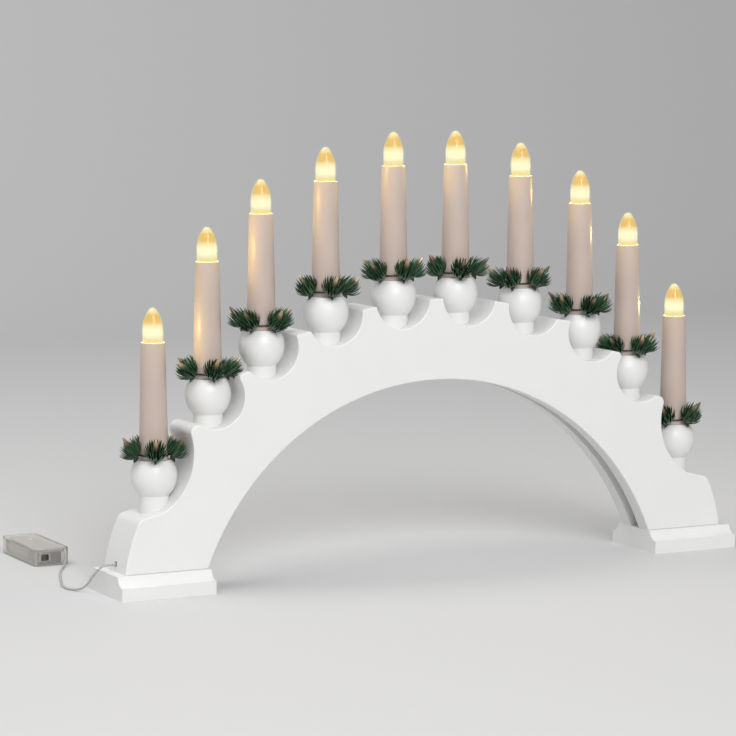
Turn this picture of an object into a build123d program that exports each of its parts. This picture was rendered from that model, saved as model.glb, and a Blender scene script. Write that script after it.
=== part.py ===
from build123d import *
import math
import os

# A candle arch: a stepped wooden board on two plinths carries ten electric candles in turned cups,
# each with a pine wreath at its foot. A thin cord runs from the left foot to a battery box behind it.
# Millimetres. X runs along the arch, -Y is the front, Z is up, and the origin is the middle of its base.

# Plinths
overall_width = 500.0
plinth_length = 70.6
plinth_depth = 61.4
plinth_height = 16.2
plinth_edge_height = 9.3
cove_run = 8.5
cove_hollow = 1.8

# Arch board
board_thickness = 39.0
leg_width = 62.8
arch_rise = 139.7
board_edge_round = 0.8
foot_setback = 6.9

# Candles of the right half, from the middle outwards: share of the way to the end candle, and height of
# the cup's seat
end_candle_inset = 37.0
candle_share = (0.1188, 0.3728, 0.6103, 0.8056, 1.0)
seat_z = (171.5, 161.8, 140.3, 108.0, 53.2)

# Scoops round the cups, placed from each candle's axis and seat
scoop_radius = 21.7
scoop_outset = 1.8
scoop_rise = 27.7
end_scoop_radius = 45.6
end_scoop_outset = 23.3
end_scoop_rise = 44.7

# Crests between the scoops, from the middle outwards: height, outward fall in degrees, round of the nose
crest_z = (198.0, 193.7, 178.3, 152.6, 116.5)
crest_fall = (0.0, 9.7, 9.7, 12.5, 13.3)
nose_round = (1.0, 1.0, 1.0, 3.5, 5.0)
lip_round = 1.0
nose_share = 0.75
lip_share = 0.2
edge_share = 0.25

# Shoulder outside the last candle
shoulder_start = 0.9
shoulder_reach = 18.8
shoulder_fall = 14.0
shoulder_round = 7.0
side_bulge = 1.6

# Wiring channels
groove_width = 11.5
groove_depth = 9.0
wire_bore_radius = 3.0
foot_slot_width = 8.0
foot_slot_height = 8.0
foot_wire_rise = 4.8
cord_hole_radius = 2.5
cord_hole_inset = 3.0
loom_radius = 1.4
drop_radius = 1.0
loom_gap = 0.1

# Plinth screws
screw_radius = 1.9
screw_head_radius = 3.8
screw_head_angle = 82.0
screw_length = 34.0
screw_point = 4.0
screw_recess = 0.4
screw_gap = 0.1
screw_inset = 38.0
screw_y = 12.5
pilot_spare = 1.0

# Turned cups, measured up from the seat
ball_radius = 16.3
ball_lower_radius = 18.5
ball_top = 10.9
neck_radius = 10.4
neck_height = 29.0
tube_socket_depth = 9.0
glue_gap = 0.15

# Candle tubes
tube_foot_radius = 10.35
tube_top_radius = 8.6
tube_height = 82.0
tube_wall = 1.25
tube_mouth_radius = 7.45
tube_rim_round = 0.35
ledge_depth = 24.0
ledge_thickness = 2.0
ledge_radius = 5.5

# Lampholders and bulbs
holder_inset = 5.0
bulb_height = 24.4
bulb_radius = 7.5
bulb_waist_radius = 7.2
bulb_belly = 7.4
bulb_tip_radius = 3.5
bulb_wall = 0.8
bulb_seat_radius = 5.0
bulb_inset = 4.0
cap_radius = 4.7
cap_length = 10.0
cap_seam = 0.1
contact_radius = 2.2
contact_length = 1.5
thread_gap = 0.15
contact_gap = 0.2
diode_radius = 2.5
diode_height = 7.0

# Wreaths
ring_wire_radius = 0.6
ring_gap = 0.35
ring_lift = 0.2
sprig_count = 5
sprig_root = 14.3
sprig_lean = 20.0
stalk_radius = 0.9
bud_radius = 1.5
bud_length = 8.5
bud_tip_radius = 0.2
needle_count = 8
needle_spread = 35.0
needle_length = 9.2
needle_width = 1.0
needle_taper = 1.8
# Angle of each wreath's first sprig about its candle, from the left candle to the right one
wreath_turn = (252.0, 264.0, 215.0, 262.0, 274.0, 257.0, 217.0, 268.0, 277.0, 216.0)

# Battery box
box_x = -240.85
box_front = 126.9
box_width = 26.7
box_length = 68.8
box_height = 13.1
box_corner = 2.5
box_edge_round = 0.9
case_wall = 1.3
case_floor = 1.0
lid_thickness = 1.4
lid_lip_height = 1.0
lid_lip_width = 0.7
lid_lip_length = 40.0
lid_gap = 0.15
switch_bay = 13.5
bulkhead = 1.2
bulkhead_height = 9.0

# Cells and their contacts
cell_radius = 5.25
cell_length = 44.5
cell_nub_radius = 1.9
cell_nub_length = 1.0
cell_pitch = 11.6
cell_gap = 0.05
rib_thickness = 0.7
plate_thickness = 0.5
plate_width = 9.0
plate_height = 9.5
spring_radius = 2.6
spring_wire_radius = 0.3
spring_turns = 4
spring_gap = 0.1
spring_samples = 40

# Lid screw and its boss on the rib between the cells
lid_screw_y = 45.0
lid_screw_radius = 0.8
lid_screw_length = 3.6
lid_screw_head_radius = 1.8
lid_screw_head_height = 0.7
lid_screw_slot = 0.5
lid_screw_recess_radius = 3.2
lid_screw_recess = 0.8
boss_radius = 1.9
boss_foot_radius = 0.85
boss_height = 3.1
boss_cone = 1.9

# Slide switch in the front end of the box
slot_x = -5.2
slot_z = 6.3
slot_width = 6.0
slot_height = 4.6
knob_width = 2.6
knob_height = 4.2
knob_reach = 0.8
slider_gap = 0.2
slider_plate = 1.0
slider_height = 6.0
switch_width = 18.4
switch_depth = 9.5
switch_height = 9.0
switch_x = -1.45

# Cord, and its lead inside the box
cord_radius = 0.9
cord_lift = 0.1
cord_out_x = 9.1
cord_out_z = 10.3
cord_hole_gap = 0.25
cord_arc_share = 0.45

# Places worked out from the sizes above
half_width = overall_width / 2
foot_outer_x = half_width - foot_setback
arch_half_span = foot_outer_x - leg_width
arch_height = arch_rise - plinth_height
arch_radius = (arch_half_span**2 + arch_height**2) / (2 * arch_height)
arch_centre_z = arch_rise - arch_radius
candle_x = [share * (half_width - end_candle_inset) for share in candle_share]
screw_x = half_width - screw_inset
foot_wire_z = plinth_height + foot_wire_rise
crest_x = [0.0] + [(near + far) / 2 for near, far in zip(candle_x, candle_x[1:])]
scoops = [(x + scoop_outset, z + scoop_rise, scoop_radius) for x, z in zip(candle_x[:-1], seat_z[:-1])]
scoops.append((candle_x[-1] + end_scoop_outset, seat_z[-1] + end_scoop_rise, end_scoop_radius))
right_places = list(zip(candle_x, seat_z))
candle_places = [(-x, z) for x, z in reversed(right_places)] + right_places
loom_arc_radius = arch_radius + groove_depth - loom_radius - loom_gap
loom_foot_x = math.sqrt(loom_arc_radius**2 - (foot_wire_z - arch_centre_z) ** 2)
cup_top = neck_height + ball_top
tube_top = cup_top + tube_height
screw_places = [(sx * screw_x, sy * screw_y, 0) for sx in (-1, 1) for sy in (-1, 1)]
upright = (Align.CENTER, Align.CENTER, Align.MIN)
hanging = (Align.CENTER, Align.CENTER, Align.MAX)


def keep(piece, name):
    """Label a finished piece and write it as its own file."""
    piece.label = name
    export_step(piece, f"parts/{name}.step")


def keep_per_candle(piece, name, turns=None):
    """Write one copy of a piece for each candle, set on that candle's seat."""
    for number, (x, z) in enumerate(candle_places):
        turn = turns[number] if turns else 0.0
        keep(piece.moved(Location((x, 0, z), (0, 0, turn))), f"{name}_{number + 1:02d}")


def crest_height(crest, x):
    """Height of a crest's top line at a place along the right half of the arch."""
    return crest_z[crest] - (x - crest_x[crest]) * math.tan(math.radians(crest_fall[crest]))


def crest_corner(crest, scoop, side):
    """Corner where a crest's top line meets a scoop, on the scoop's inner (-1) or outer (+1) side."""
    centre_x, centre_z, radius = scoop
    slope = -math.tan(math.radians(crest_fall[crest]))
    rise = crest_height(crest, centre_x) - centre_z
    square = 1 + slope**2
    root = math.sqrt((slope * rise) ** 2 - square * (rise**2 - radius**2))
    x = centre_x + (side * root - slope * rise) / square
    return (x, crest_height(crest, x))


def crest_width(crest):
    """Width of a crest's top between its two scoops, or of its right half in the middle."""
    start = crest_corner(crest, scoops[crest - 1], 1)[0] if crest else 0.0
    return crest_corner(crest, scoops[crest], -1)[0] - start


def round_crest(crest, scoop, side, radius, share):
    """Round a crest's corner, over no more than a share of the crest's width."""
    corner = crest_corner(crest, scoop, side)
    fall = math.radians(crest_fall[crest])
    along_top = Vector(side * math.cos(fall), -side * math.sin(fall))
    outward = Vector(*corner) - Vector(*scoop[:2])
    down_scoop = Vector(side * outward.Y, -side * outward.X)
    half_angle = math.radians(along_top.get_angle(down_scoop) / 2)
    widest = crest_width(crest) * share * math.tan(half_angle)
    fillet(vertices().sort_by_distance(corner)[0], min(radius, widest))


def loom_height(x):
    """Height of the trunk wire below a candle."""
    if abs(x) > loom_foot_x:
        return foot_wire_z
    return arch_centre_z + math.sqrt(loom_arc_radius**2 - x**2)


os.makedirs("parts", exist_ok=True)

# Arch board
shoulder_x = candle_x[-1] + shoulder_start
end_x, end_z, end_radius = scoops[-1]
shoulder_z = end_z - math.sqrt(end_radius**2 - (shoulder_x - end_x) ** 2)
corner_x = candle_x[-1] + shoulder_reach
corner_z = shoulder_z - (corner_x - shoulder_x) * math.tan(math.radians(shoulder_fall))

steps = [(shoulder_x, plinth_height), (shoulder_x, crest_height(4, shoulder_x))]
for crest in (4, 3, 2, 1):
    step_x = scoops[crest - 1][0]
    steps += [(step_x, crest_height(crest, step_x)), (step_x, crest_height(crest - 1, step_x))]

with BuildPart() as arch_board:
    with BuildSketch(Plane.XZ):
        with BuildLine():
            Polyline((0, plinth_height), *steps, (0, crest_z[0]), close=True)
        make_face()
        for scoop_x, scoop_z, radius in scoops:
            with Locations((scoop_x, scoop_z)):
                Circle(radius, mode=Mode.SUBTRACT)
        with BuildLine():
            Polyline((foot_outer_x, plinth_height), (shoulder_x, plinth_height), (shoulder_x, shoulder_z),
                     (corner_x, corner_z))
            SagittaArc((corner_x, corner_z), (foot_outer_x, plinth_height), side_bulge)
        make_face()
        with Locations((0, arch_centre_z)):
            Circle(arch_radius, mode=Mode.SUBTRACT)
        for crest, scoop in enumerate(scoops):
            round_crest(crest, scoop, -1, nose_round[crest], nose_share)
        for crest, scoop in enumerate(scoops[:-1], 1):
            round_crest(crest, scoop, 1, lip_round, lip_share)
        fillet(vertices().sort_by_distance((corner_x, corner_z))[0], shoulder_round)
        mirror(about=Plane.YZ)
    extrude(amount=board_thickness / 2, both=True)
    front_edges = faces().sort_by(Axis.Y)[0].edges()
    back_edges = faces().sort_by(Axis.Y)[-1].edges()
    narrowest = min(crest_width(crest) for crest in range(len(crest_z)))
    fillet(front_edges + back_edges, min(board_edge_round, narrowest * edge_share))
    # Groove for the wires along the underside
    with BuildSketch(Plane.XZ):
        with Locations((0, arch_centre_z)):
            Circle(arch_radius + groove_depth)
    extrude(amount=groove_width / 2, both=True, mode=Mode.SUBTRACT)
    # Seats for the cups' necks, with a bore down to the groove or to the slot in the foot
    for x, z in candle_places:
        with Locations((x, 0, z)):
            Cylinder(neck_radius + glue_gap, neck_height, align=upright, mode=Mode.SUBTRACT)
            Cylinder(wire_bore_radius, z - loom_height(x), align=hanging, mode=Mode.SUBTRACT)
    # Slots under the feet, from the groove to the last candles' bores
    slot_start = loom_foot_x - groove_depth
    slot_length = candle_x[-1] + wire_bore_radius - slot_start
    for side in (-1, 1):
        with Locations((side * (slot_start + slot_length / 2), 0, plinth_height)):
            Box(slot_length, foot_slot_width, foot_slot_height, align=upright, mode=Mode.SUBTRACT)
    # Hole for the cord in the left end
    with Locations(Plane(origin=(-candle_x[-1], 0, foot_wire_z), z_dir=(-1, 0, 0))):
        Cylinder(cord_hole_radius, end_candle_inset, align=upright, mode=Mode.SUBTRACT)
    # Pilot holes for the plinth screws
    with Locations(*screw_places):
        Cylinder(screw_radius + screw_gap, screw_length + pilot_spare, align=upright, mode=Mode.SUBTRACT)
keep(arch_board.part, "arch_board")

# Plinths, coved along the front and the back
for side, name in ((-1, "plinth_left"), (1, "plinth_right")):
    half_depth = plinth_depth / 2
    with BuildPart() as plinth:
        with BuildSketch(Plane.YZ.offset(side * (half_width - plinth_length / 2))):
            with BuildLine():
                cove_top = (half_depth - cove_run, plinth_height)
                cove_foot = (half_depth, plinth_edge_height)
                Polyline(cove_top, (0, plinth_height), (0, 0), (half_depth, 0), cove_foot)
                SagittaArc(cove_foot, cove_top, cove_hollow)
            make_face()
            mirror(about=Plane.YZ)
        extrude(amount=plinth_length / 2, both=True)
        with Locations(*[Plane(place, z_dir=(0, 0, -1)) for place in screw_places if place[0] * side > 0]):
            CounterSinkHole(screw_radius + screw_gap, screw_head_radius + screw_recess + screw_gap,
                            plinth_height, screw_head_angle)
    keep(plinth.part, name)

# Screws from below, through the plinths into the feet
head_height = (screw_head_radius - screw_radius) / math.tan(math.radians(screw_head_angle / 2))
with BuildPart() as screw:
    with BuildSketch(Plane.XZ):
        with BuildLine():
            Polyline((0, screw_recess), (screw_head_radius, screw_recess),
                     (screw_radius, screw_recess + head_height),
                     (screw_radius, screw_length - screw_point), (0, screw_length), close=True)
        make_face()
    revolve(axis=Axis.Z)
with BuildPart() as plinth_screws:
    with Locations(*screw_places):
        add(screw.part)
keep(plinth_screws.part, "plinth_screws")

# Turned cups: a ball on a neck, with a socket for the candle tube
lower_angle = math.acos(neck_radius / ball_radius)
neck_top = neck_height - ball_lower_radius * math.sin(lower_angle)
side_radius = ball_radius * math.cos(lower_angle / 2)
side_z = neck_height - ball_lower_radius * math.sin(lower_angle / 2)
rim_radius = math.sqrt(ball_radius**2 - ball_top**2)
rim_angle = math.degrees(math.asin(ball_top / ball_radius))
socket_radius = tube_foot_radius + glue_gap
socket_floor = cup_top - tube_socket_depth
with BuildPart() as cup:
    with BuildSketch(Plane.XZ):
        with BuildLine():
            Polyline((rim_radius, cup_top), (socket_radius, cup_top), (socket_radius, socket_floor),
                     (wire_bore_radius, socket_floor), (wire_bore_radius, 0), (neck_radius, 0),
                     (neck_radius, neck_top))
            ThreePointArc((neck_radius, neck_top), (side_radius, side_z), (ball_radius, neck_height))
            CenterArc((0, neck_height), ball_radius, 0, rim_angle)
        make_face()
    revolve(axis=Axis.Z)
keep_per_candle(cup.part, "cup")

# Candle tubes, with a ledge inside for the lampholder
ledge_top = tube_top - ledge_depth
ledge_foot = ledge_top - ledge_thickness
ledge_share = (ledge_foot - cup_top) / tube_height
ledge_outer_radius = tube_foot_radius + (tube_top_radius - tube_foot_radius) * ledge_share
with BuildPart() as candle_tube:
    with BuildSketch(Plane.XZ):
        with BuildLine():
            Polyline((tube_foot_radius, socket_floor), (tube_foot_radius, cup_top),
                     (tube_top_radius, tube_top), (tube_mouth_radius, tube_top),
                     (tube_mouth_radius, ledge_top), (ledge_radius, ledge_top), (ledge_radius, ledge_foot),
                     (ledge_outer_radius - tube_wall, ledge_foot), (tube_foot_radius - tube_wall, cup_top),
                     (tube_foot_radius - tube_wall, socket_floor), close=True)
        make_face()
        fillet(vertices().sort_by_distance((tube_top_radius, tube_top))[0], tube_rim_round)
    revolve(axis=Axis.Z)
keep_per_candle(candle_tube.part, "candle_tube")

# Lampholders, standing on the ledges
holder_radius = tube_mouth_radius - glue_gap
holder_top = tube_top - holder_inset
thread_radius = cap_radius + thread_gap
cap_foot = tube_top - bulb_inset - cap_length
holder_floor = cap_foot - contact_length - contact_gap
with BuildPart() as lampholder:
    with BuildSketch(Plane.XZ):
        with BuildLine():
            Polyline((0, ledge_top), (holder_radius, ledge_top), (holder_radius, holder_top),
                     (thread_radius, holder_top), (thread_radius, holder_floor), (0, holder_floor),
                     close=True)
        make_face()
    revolve(axis=Axis.Z)
with BuildPart() as lampholders:
    with Locations(*[(x, 0, z) for x, z in candle_places]):
        add(lampholder.part)
keep(lampholders.part, "lampholders")


def bulb_outline(inset):
    """Points up the bulb's pointed side, a given depth inside its surface, from the belly to the tip."""
    belly_z = tube_top + bulb_belly
    tip_z = tube_top + bulb_height - bulb_tip_radius
    rise = tip_z - belly_z
    side_radius = (bulb_radius**2 + rise**2 - bulb_tip_radius**2) / (2 * (bulb_radius - bulb_tip_radius))
    full_angle = math.asin(rise / (side_radius - bulb_tip_radius))
    points = []
    for share in (0.0, 0.5, 1.0):
        angle = full_angle * share
        reach = (side_radius - inset) * math.cos(angle) - (side_radius - bulb_radius)
        points.append((reach, belly_z + (side_radius - inset) * math.sin(angle)))
    tip_angle = (full_angle + math.pi / 2) / 2
    tip_reach = bulb_tip_radius - inset
    points.append((tip_reach * math.cos(tip_angle), tip_z + tip_reach * math.sin(tip_angle)))
    points.append((0, tip_z + tip_reach))
    return points


# Bulbs: a pointed clear shell over a screw cap that carries the diode
outside = bulb_outline(0)
inside = bulb_outline(bulb_wall)
bulb_foot = tube_top - bulb_inset
with BuildPart() as bulb:
    with BuildSketch(Plane.XZ):
        with BuildLine():
            Line((0, inside[4][1]), (0, outside[4][1]))
            ThreePointArc(outside[4], outside[3], outside[2])
            ThreePointArc(outside[2], outside[1], outside[0])
            Polyline(outside[0], (bulb_waist_radius, tube_top), (bulb_seat_radius, bulb_foot),
                     (bulb_seat_radius - bulb_wall, bulb_foot), (bulb_waist_radius - bulb_wall, tube_top),
                     inside[0])
            ThreePointArc(inside[0], inside[1], inside[2])
            ThreePointArc(inside[2], inside[3], inside[4])
        make_face()
    revolve(axis=Axis.Z)
    with BuildSketch(Plane.XZ):
        diode_top = bulb_foot + diode_height
        with BuildLine():
            Polyline((0, diode_top + diode_radius), (0, cap_foot - contact_length),
                     (contact_radius, cap_foot - contact_length), (contact_radius, cap_foot),
                     (cap_radius, cap_foot), (cap_radius, bulb_foot - cap_seam),
                     (diode_radius, bulb_foot - cap_seam), (diode_radius, diode_top))
            CenterArc((0, diode_top), diode_radius, 0, 90)
        make_face()
    revolve(axis=Axis.Z)
keep_per_candle(bulb.part, "bulb")

# Wreaths: a wire ring with sprigs of needles round a bud, lying on the cup's rim
ring_radius = tube_foot_radius + ring_gap + ring_wire_radius
ring_z = cup_top + ring_lift + ring_wire_radius
sprig_axis = Vector(math.sin(math.radians(sprig_lean)), 0, math.cos(math.radians(sprig_lean)))
sprig_plane = Plane((sprig_root, 0, ring_z + stalk_radius), x_dir=(0, 1, 0), z_dir=sprig_axis)
with BuildPart() as sprig:
    # Stalk from the ring to the sprig, and the bud on the sprig's axis
    with Locations(Plane((ring_radius, 0, ring_z + stalk_radius - ring_wire_radius), z_dir=(1, 0, 0))):
        Cylinder(stalk_radius, sprig_root - ring_radius, align=upright)
    with Locations(sprig_plane):
        Sphere(bud_radius)
        Cone(bud_radius, bud_tip_radius, bud_length, align=upright)
    # Needles spread in a cup round the bud
    for needle in range(needle_count):
        spin = 360 * (needle + 0.5) / needle_count
        with BuildSketch(sprig_plane.rotated((0, 0, spin)).rotated((0, needle_spread, 0))):
            Rectangle(needle_width, needle_width)
    extrude(amount=needle_length, taper=needle_taper)
with BuildPart() as wreath:
    with Locations((0, 0, ring_z)):
        Torus(ring_radius, ring_wire_radius)
    with PolarLocations(0, sprig_count):
        add(sprig.part)
keep_per_candle(wreath.part, "wreath", wreath_turn)

# Wiring loom: a trunk in the groove and the feet, and a drop up to each lampholder
foot_angle = math.degrees(math.asin((foot_wire_z - arch_centre_z) / loom_arc_radius))
cord_start_x = -(foot_outer_x - cord_hole_inset)
with BuildPart() as wiring_loom:
    with BuildLine(Plane.XZ) as trunk:
        CenterArc((0, arch_centre_z), loom_arc_radius, foot_angle, 180 - 2 * foot_angle)
    with BuildSketch(Plane(trunk.line @ 0, z_dir=trunk.line % 0)):
        Circle(loom_radius)
    sweep(path=trunk.line)
    with Locations((-loom_foot_x, 0, foot_wire_z), (loom_foot_x, 0, foot_wire_z)):
        Sphere(loom_radius)
    for start_x, end in ((-loom_foot_x, cord_start_x), (loom_foot_x, candle_x[-1])):
        with Locations(Plane((start_x, 0, foot_wire_z), z_dir=(end - start_x, 0, 0))):
            Cylinder(loom_radius, abs(end - start_x), align=upright)
    for x, z in candle_places:
        drop_foot = loom_height(x)
        with Locations((x, 0, drop_foot)):
            Cylinder(drop_radius, z + ledge_top - drop_foot,
                     align=upright)
keep(wiring_loom.part, "wiring_loom")

# Battery box: a tray with a bay for the switch in front and one for the two cells behind it
case_height = box_height - lid_thickness
box_middle = box_front + box_length / 2
inner_width = box_width - 2 * case_wall
bay_front = box_front + case_wall + switch_bay + bulkhead
bay_back = box_front + box_length - case_wall
screw_place = (box_x, box_front + lid_screw_y)
with BuildPart() as battery_case:
    with BuildSketch():
        with Locations((box_x, box_middle)):
            RectangleRounded(box_width, box_length, box_corner)
    extrude(amount=case_height)
    fillet(faces().sort_by(Axis.Z)[0].edges(), box_edge_round)
    with BuildSketch(Plane.XY.offset(case_floor)):
        with Locations((box_x, box_middle)):
            RectangleRounded(inner_width, box_length - 2 * case_wall, box_corner - case_wall)
    extrude(amount=case_height, mode=Mode.SUBTRACT)
    with Locations((box_x, bay_front - bulkhead / 2, 0)):
        Box(box_width - case_wall, bulkhead, bulkhead_height, align=upright)
    # Rib between the cells, and the boss for the lid's screw on it
    with Locations((box_x, (bay_front + bay_back) / 2, case_floor)):
        Box(rib_thickness, cell_length / 2, case_height - boss_height - case_floor, align=upright)
    with Locations((*screw_place, case_height - boss_height)):
        Cone(boss_foot_radius, boss_radius, boss_cone, align=upright)
    with Locations((*screw_place, case_height - boss_height + boss_cone)):
        Cylinder(boss_radius, boss_height - boss_cone, align=upright)
    with Locations((*screw_place, case_height)):
        Hole(lid_screw_radius + screw_gap / 2, lid_screw_length - lid_thickness + lid_screw_recess)
    # Slot for the switch and hole for the cord
    with Locations((box_x + slot_x, box_front + case_wall / 2, slot_z)):
        Box(slot_width, 2 * case_wall, slot_height, mode=Mode.SUBTRACT)
    with Locations(Plane((box_x + cord_out_x, box_front, cord_out_z), z_dir=(0, 1, 0))):
        Cylinder(cord_radius + cord_hole_gap, 2 * case_wall, mode=Mode.SUBTRACT)
keep(battery_case.part, "battery_case")

# Lid, with lips inside the case's long walls and a recess for its screw
with BuildPart() as battery_lid:
    with BuildSketch(Plane.XY.offset(case_height)):
        with Locations((box_x, box_middle)):
            RectangleRounded(box_width, box_length, box_corner)
    extrude(amount=lid_thickness)
    fillet(faces().sort_by(Axis.Z)[-1].edges(), box_edge_round)
    lip_x = inner_width / 2 - lid_gap - lid_lip_width / 2
    with Locations((box_x - lip_x, box_middle, case_height), (box_x + lip_x, box_middle, case_height)):
        Box(lid_lip_width, lid_lip_length, lid_lip_height, align=hanging)
    with Locations((*screw_place, box_height)):
        CounterBoreHole(lid_screw_radius + screw_gap, lid_screw_recess_radius, lid_screw_recess,
                        lid_thickness)
keep(battery_lid.part, "battery_lid")

with BuildPart() as lid_screw:
    head_foot = box_height - lid_screw_recess
    with Locations((*screw_place, head_foot)):
        Cylinder(lid_screw_head_radius, lid_screw_head_height, align=upright)
        Cylinder(lid_screw_radius, lid_screw_length - contact_gap, align=hanging)
    with Locations((*screw_place, head_foot + lid_screw_head_height)):
        Box(2 * lid_screw_head_radius, lid_screw_slot, lid_screw_head_height, mode=Mode.SUBTRACT)
        Box(lid_screw_slot, 2 * lid_screw_head_radius, lid_screw_head_height, mode=Mode.SUBTRACT)
keep(lid_screw.part, "lid_screw")

# Two cells side by side, one pointing to the front and one to the back
cell_z = case_floor + cell_gap + cell_radius
front_plate = bay_front + plate_thickness
back_plate = bay_back - plate_thickness
cell_sides = ((-cell_pitch / 2, front_plate, 1), (cell_pitch / 2, back_plate, -1))
with BuildPart() as battery_cells:
    for x, plate_y, way in cell_sides:
        with Locations(Plane((box_x + x, plate_y, cell_z), z_dir=(0, way, 0))):
            Cylinder(cell_nub_radius, cell_nub_length, align=upright)
        with Locations(Plane((box_x + x, plate_y + way * cell_nub_length, cell_z), z_dir=(0, way, 0))):
            Cylinder(cell_radius, cell_length - cell_nub_length, align=upright)
keep(battery_cells.part, "battery_cells")

# Contact plates: two at the front, and one at the back that joins the cells
with BuildPart() as contact_plates:
    with Locations(*[(box_x + x, bay_front + plate_thickness / 2, case_floor) for x, _, _ in cell_sides]):
        Box(plate_width, plate_thickness, plate_height, align=upright)
    with Locations((box_x, bay_back - plate_thickness / 2, case_floor)):
        Box(cell_pitch + plate_width, plate_thickness, plate_height, align=upright)
keep(contact_plates.part, "contact_plates")

# Contact springs, wound in quarter turns of two tangent arcs each
spring_length = back_plate - front_plate - cell_length
spring_rise = (spring_length - 2 * spring_wire_radius - 2 * spring_gap) / spring_turns


def coil_point(turn):
    """Place and direction on the spring's centre line after so many turns."""
    angle = 2 * math.pi * turn
    across = spring_radius * math.cos(angle)
    along = spring_radius * math.sin(angle)
    way = Vector(-along, across, spring_rise / (2 * math.pi))
    return Vector(across, along, spring_rise * turn), way.normalized()


with BuildPart() as spring:
    with BuildLine() as coil:
        for quarter in range(4 * spring_turns):
            start, start_way = coil_point(quarter / 4)
            end, end_way = coil_point((quarter + 1) / 4)
            span = end - start
            both_ways = start_way + end_way
            bend = 2 * (1 - start_way.dot(end_way))
            lean = span.dot(both_ways)
            reach = (math.sqrt(lean**2 + bend * span.dot(span)) - lean) / bend
            first_corner = start + start_way * reach
            second_corner = end - end_way * reach
            middle = (first_corner + second_corner) * 0.5
            TangentArc(start, middle, tangent=start_way)
            TangentArc(middle, end, tangent=second_corner - first_corner)
    with BuildSketch(Plane(coil.line @ 0, z_dir=coil.line % 0)):
        Circle(spring_wire_radius)
    sweep(path=coil.line)
samples = [coil_point(step / spring_samples)[0] for step in range(spring_samples * spring_turns + 1)]
half_turn = spring_samples // 2
turn_gap = min((far - near).length for i, near in enumerate(samples) for far in samples[i + half_turn:])
print(f"spring: least gap to itself {turn_gap - 2 * spring_wire_radius:.2f} mm")
with BuildPart() as contact_springs:
    for x, plate_y, way in cell_sides:
        spring_y = back_plate - spring_length if way > 0 else front_plate
        place = (box_x + x, spring_y + spring_gap + spring_wire_radius, cell_z)
        add(spring.part.moved(Location(place, (-90, 0, 0))))
keep(contact_springs.part, "contact_springs")

# Slide switch: a block behind the front wall, with a channel for the slider's plate
slider_travel = slot_width - knob_width - 2 * slider_gap
slider_width = knob_width + slider_travel + 2 * slider_gap
knob_x = box_x + slot_x - slider_travel / 2
wall_inside = box_front + case_wall
channel_depth = slider_plate + 2 * slider_gap
with BuildPart() as switch_body:
    with Locations((box_x + switch_x, wall_inside + switch_depth / 2, case_floor)):
        Box(switch_width, switch_depth, switch_height, align=upright)
    with Locations((box_x + slot_x, wall_inside, slot_z)):
        Box(slider_width + slider_travel + 2 * slider_gap, channel_depth, slider_height + 2 * slider_gap,
            align=(Align.CENTER, Align.MIN, Align.CENTER), mode=Mode.SUBTRACT)
keep(switch_body.part, "switch_body")

with BuildPart() as switch_slider:
    with Locations((knob_x, wall_inside + slider_gap, slot_z)):
        Box(slider_width, slider_plate, slider_height, align=(Align.CENTER, Align.MIN, Align.CENTER))
        Box(knob_width, case_wall + slider_gap + knob_reach, knob_height,
            align=(Align.CENTER, Align.MAX, Align.CENTER))
keep(switch_slider.part, "switch_slider")

# Lead of the cord inside the box, from the hole in the wall to the bulkhead
with BuildPart() as battery_leads:
    with Locations(Plane((box_x + cord_out_x, box_front, cord_out_z), z_dir=(0, 1, 0))):
        Cylinder(cord_radius, bay_front - bulkhead - box_front, align=upright)
keep(battery_leads.part, "battery_leads")

# Free cord: out of the left foot, over the plinth's end, along the floor and up into the box
cord_floor = cord_radius + cord_lift
cord_route = [
    (cord_start_x, 0.0, foot_wire_z),
    (-245.0, 0.0, foot_wire_z),
    (-250.5, 0.8, 21.0),
    (-254.6, 3.2, 17.6),
    (-256.6, 7.6, 12.2),
    (-258.0, 13.0, 6.6),
    (-260.2, 18.8, 2.4),
    (-263.6, 25.0, cord_floor),
    (-266.4, 32.6, cord_floor),
    (-265.6, 42.6, cord_floor),
    (-261.4, 55.0, cord_floor),
    (-256.4, 69.5, cord_floor),
    (-250.4, 86.0, cord_floor),
    (-243.6, 101.6, cord_floor),
    (-237.4, 113.0, cord_floor),
    (-233.6, 119.0, 2.2),
    (-232.2, 121.6, 5.8),
    (box_x + cord_out_x, 122.8, 9.0),
    (box_x + cord_out_x, 124.8, cord_out_z),
    (box_x + cord_out_x, box_front, cord_out_z),
]
cord_points = [Vector(point) for point in cord_route]
cord_radii = []
for before, corner, after in zip(cord_points, cord_points[1:], cord_points[2:]):
    turn = math.radians((corner - before).get_angle(after - corner))
    shorter_run = min((corner - before).length, (after - corner).length)
    cord_radii.append(cord_arc_share * shorter_run / math.tan(turn / 2))
with BuildPart() as power_cord:
    with BuildLine() as cord_line:
        FilletPolyline(*cord_points, radius=cord_radii)
    with BuildSketch(Plane(cord_line.line @ 0, z_dir=cord_line.line % 0)):
        Circle(cord_radius)
    sweep(path=cord_line.line)
keep(power_cord.part, "power_cord")
cord_length = sum(edge.length for edge in cord_line.edges())
cord_share = power_cord.part.volume / (math.pi * cord_radius**2 * cord_length)
print("cord radii:", ", ".join(f"{radius:.1f}" for radius in cord_radii))
print(f"cord: {cord_length:.1f} mm long, volume over section times length {cord_share:.4f}")
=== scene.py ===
"""Looks of a white candle arch: lit candles, pine wreaths, a twisted cord and a clear battery box."""

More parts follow.
